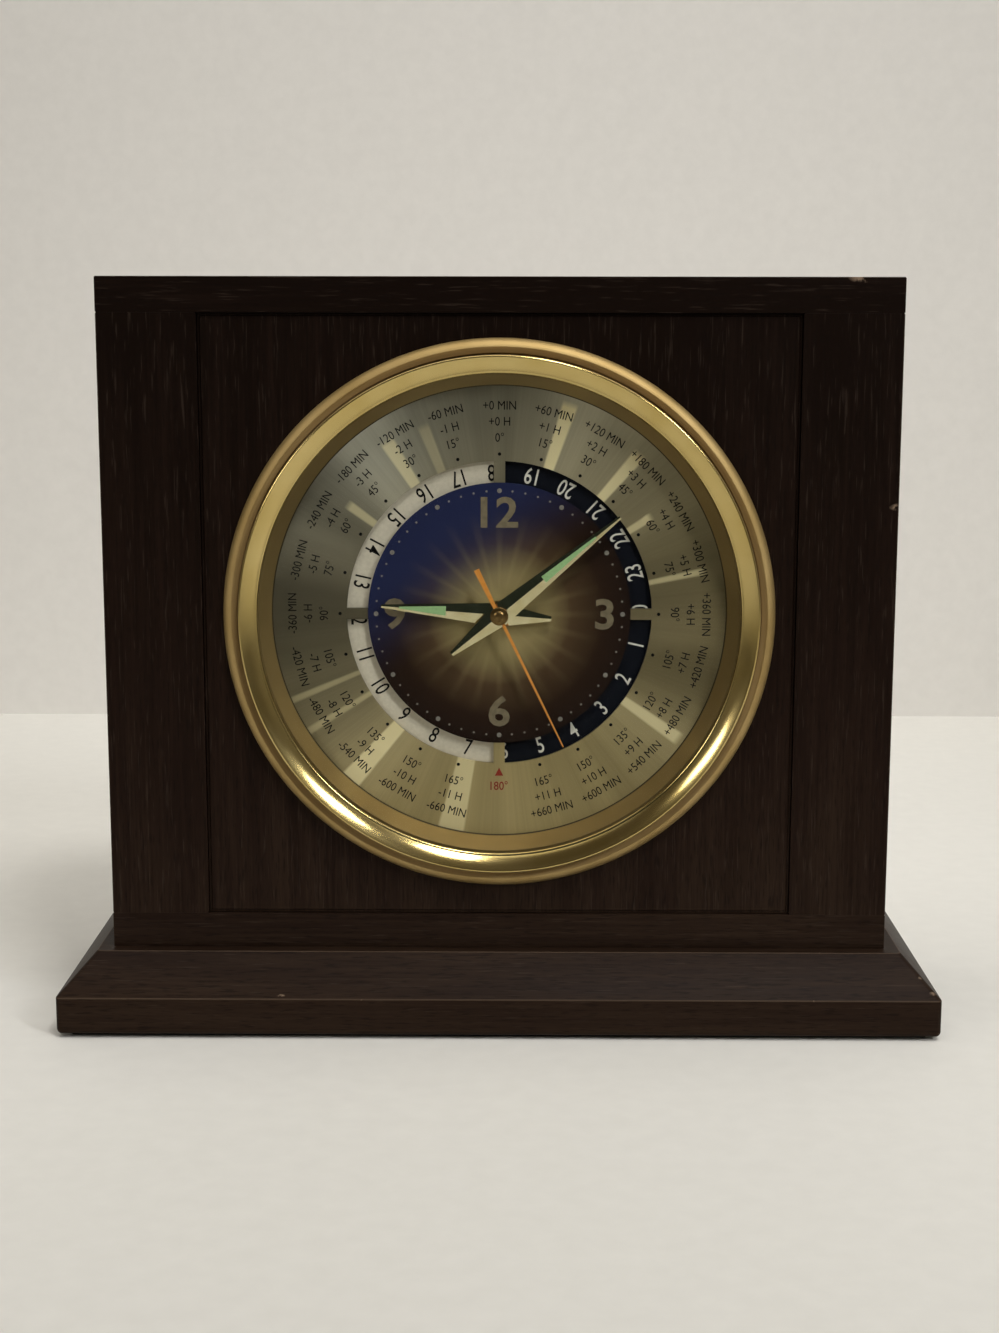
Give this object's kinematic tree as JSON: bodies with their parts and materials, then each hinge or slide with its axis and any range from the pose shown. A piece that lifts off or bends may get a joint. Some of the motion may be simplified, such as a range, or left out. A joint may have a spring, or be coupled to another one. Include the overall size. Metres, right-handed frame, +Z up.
{
  "type": "desk clock",
  "caption": "Desk clock in a dark wooden cabinet on a sloped plinth: round gold bezel, brushed dial, turning 24-hour disc, faceted hands and a battery movement behind.",
  "frame": {"origin": "middle of the felt's underside, on the surface that the clock stands on", "axes": "+Z up, the dial faces -Y, +X to the viewer's right along the cabinet's width"},
  "size_m": [0.2202, 0.0792, 0.187],
  "materials": {
    "stained_wood": "dark stain under satin lacquer",
    "hardboard": "smooth pressed board",
    "felt": "short napped felt",
    "dowel_wood": "fluted beech",
    "screw_steel": "zinc plated",
    "satin_gold": "satin turned",
    "polished_gold": "mirror polished",
    "clear_glass": "clear flat",
    "gasket_rubber": "matt",
    "cone_bronze": "satin bronze lacquer",
    "dial_metal": "sunburst brushed, champagne",
    "dial_print": "printed, satin",
    "disc_print": "printed in two halves",
    "moulded_black": "fine moulded grain",
    "brass_wheels": "stamped",
    "moulded_white": "moulded acetal",
    "rotor_magnet": "sintered",
    "motor_iron": "stamped",
    "coil_copper": "enamelled wire",
    "board_green": "solder mask",
    "crystal_can": "drawn can",
    "cell_jacket": "plain printed jacket",
    "contact_plate": "nickel plated",
    "hand_gold": "polished facets",
    "hand_inlay": "pale green paint",
    "hand_orange": "satin orange"
  },
  "bodies": {
    "cabinet": {"plinth": "stained_wood", "top_board": "stained_wood", "bottom_board": "stained_wood", "left_side": "stained_wood", "right_side": "stained_wood", "front_panel": "stained_wood", "back_panel": "hardboard", "base_felt": "felt", "corner_dowels": "dowel_wood", "plinth_screws": "screw_steel", "back_panel_screws": "screw_steel", "carrier_screws": "screw_steel", "housing_screws": "screw_steel", "idler_stud": "screw_steel", "bezel_flange": "satin_gold", "bezel_ring": "polished_gold", "glass": "clear_glass", "glass_gasket": "gasket_rubber", "cone_ring": "cone_bronze", "dial_plate": "dial_metal", "centre_dial": "dial_print", "dial_carrier": "moulded_black", "front_housing": "moulded_black", "back_cover": "moulded_black", "centre_nut": "brass_wheels", "stator": "motor_iron", "coil_core": "motor_iron", "coil": "coil_copper", "circuit_board": "board_green", "quartz_crystal": "crystal_can", "battery_cell": "cell_jacket", "plus_contact": "contact_plate", "minus_contact": "contact_plate"},
    "minute_hand_body": {"minute_hand": "hand_gold", "minute_inlay": "hand_inlay", "cannon_pinion": "brass_wheels"},
    "hour_hand_body": {"hour_hand": "hand_gold", "hour_inlay": "hand_inlay", "hour_wheel": "brass_wheels", "sun_gear": "brass_wheels"},
    "setting_arbor": {"minute_wheel": "brass_wheels", "set_knob": "moulded_black"},
    "idler": {"idler_gear": "moulded_white"},
    "day_disc_body": {"day_disc": "disc_print"},
    "second_hand_body": {"second_hand": "hand_orange", "seconds_wheel": "brass_wheels"},
    "third_arbor": {"third_wheel": "brass_wheels"},
    "centre_wheel_body": {"centre_wheel": "brass_wheels"},
    "intermediate_arbor": {"intermediate_wheel": "brass_wheels"},
    "rotor_body": {"rotor": "rotor_magnet"},
    "battery_door_body": {"battery_door": "moulded_black"}
  },
  "joints": [
    {"name": "minute_hand_spin", "type": "hinge", "parent": "cabinet", "child": "minute_hand_body", "pos_m": [0, -0.0262, 0.1045], "axis": [0, 1, 0], "continuous": true},
    {"name": "hour_hand_spin", "type": "hinge", "parent": "cabinet", "child": "hour_hand_body", "pos_m": [0, -0.0262, 0.1045], "axis": [0, 1, 0], "continuous": true},
    {"name": "setting_knob_spin", "type": "hinge", "parent": "cabinet", "child": "setting_arbor", "pos_m": [0.00764, -0.0262, 0.11214], "axis": [0, 1, 0], "continuous": true},
    {"name": "idler_spin", "type": "hinge", "parent": "cabinet", "child": "idler", "pos_m": [0.006, -0.0262, 0.11489], "axis": [0, 1, 0], "continuous": true},
    {"name": "day_disc_spin", "type": "hinge", "parent": "cabinet", "child": "day_disc_body", "pos_m": [0, -0.0262, 0.1045], "axis": [0, 1, 0], "continuous": true},
    {"name": "second_hand_spin", "type": "hinge", "parent": "cabinet", "child": "second_hand_body", "pos_m": [0, -0.0262, 0.1045], "axis": [0, 1, 0], "continuous": true},
    {"name": "third_wheel_spin", "type": "hinge", "parent": "cabinet", "child": "third_arbor", "pos_m": [-0.00721, -0.0262, 0.11171], "axis": [0, 1, 0], "continuous": true},
    {"name": "centre_wheel_spin", "type": "hinge", "parent": "cabinet", "child": "centre_wheel_body", "pos_m": [0, -0.0262, 0.1045], "axis": [0, 1, 0], "continuous": true},
    {"name": "intermediate_wheel_spin", "type": "hinge", "parent": "cabinet", "child": "intermediate_arbor", "pos_m": [-0.00764, -0.0262, 0.09686], "axis": [0, 1, 0], "continuous": true},
    {"name": "rotor_spin", "type": "hinge", "parent": "cabinet", "child": "rotor_body", "pos_m": [-0.01305, -0.0262, 0.09145], "axis": [0, 1, 0], "continuous": true},
    {"name": "battery_door_slide", "type": "slide", "parent": "cabinet", "child": "battery_door_body", "axis": [0, 0, -1], "range_m": [0, 0.018]}
  ],
  "couplings": [
    {"joint": "hour_hand_spin", "follows": "minute_hand_spin", "ratio": 0.083333},
    {"joint": "setting_knob_spin", "follows": "minute_hand_spin", "ratio": -0.33333},
    {"joint": "idler_spin", "follows": "minute_hand_spin", "ratio": -0.16667},
    {"joint": "day_disc_spin", "follows": "minute_hand_spin", "ratio": -0.041667},
    {"joint": "third_wheel_spin", "follows": "second_hand_spin", "ratio": -0.13333},
    {"joint": "centre_wheel_spin", "follows": "second_hand_spin", "ratio": 0.016667},
    {"joint": "intermediate_wheel_spin", "follows": "second_hand_spin", "ratio": -4},
    {"joint": "rotor_spin", "follows": "second_hand_spin", "ratio": 30}
  ]
}
